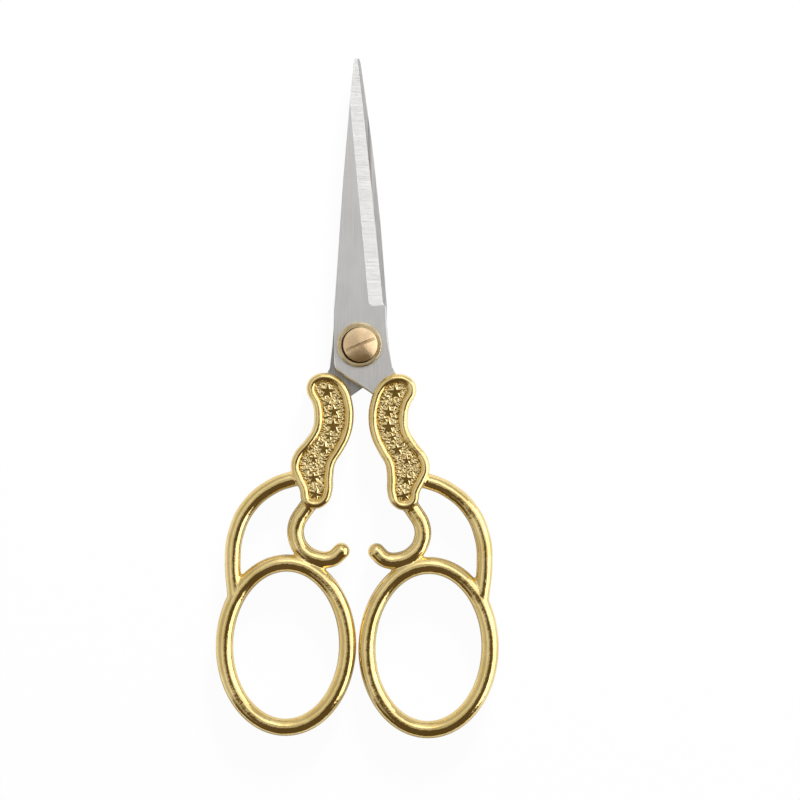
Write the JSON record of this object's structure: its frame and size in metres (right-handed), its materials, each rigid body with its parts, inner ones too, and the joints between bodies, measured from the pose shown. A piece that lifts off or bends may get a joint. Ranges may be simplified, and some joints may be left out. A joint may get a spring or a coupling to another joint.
{
  "type": "sewing scissors",
  "caption": "Slim pointed sewing scissors with gilt cast handles: oval finger rings, side bows, hooked wires and star panels, turning on a slotted brass screw.",
  "frame": {"origin": "middle of the closed scissors' bounding box, on its underside", "axes": "+Y from the finger rings to the blade tips, +X to the right as seen from the front, +Z out of the front face"},
  "size_m": [0.052, 0.1248, 0.0056],
  "materials": {
    "steel": "lengthwise brushed flats, bright ground bevels",
    "gilt": "polished pale gold plate",
    "brass": "lathe-turned satin"
  },
  "bodies": {
    "back_half": {"back_blade": "steel", "left_handle": "gilt", "pivot_screw": "brass", "screw_washer": "brass"},
    "front_half": {"front_blade": "steel", "right_handle": "gilt"}
  },
  "joints": [
    {"name": "pivot", "type": "hinge", "parent": "back_half", "child": "front_half", "pos_m": [0.00062, 0.0098, 0.0021], "axis": [0, 0, 1], "range_deg": [0, 90]}
  ]
}
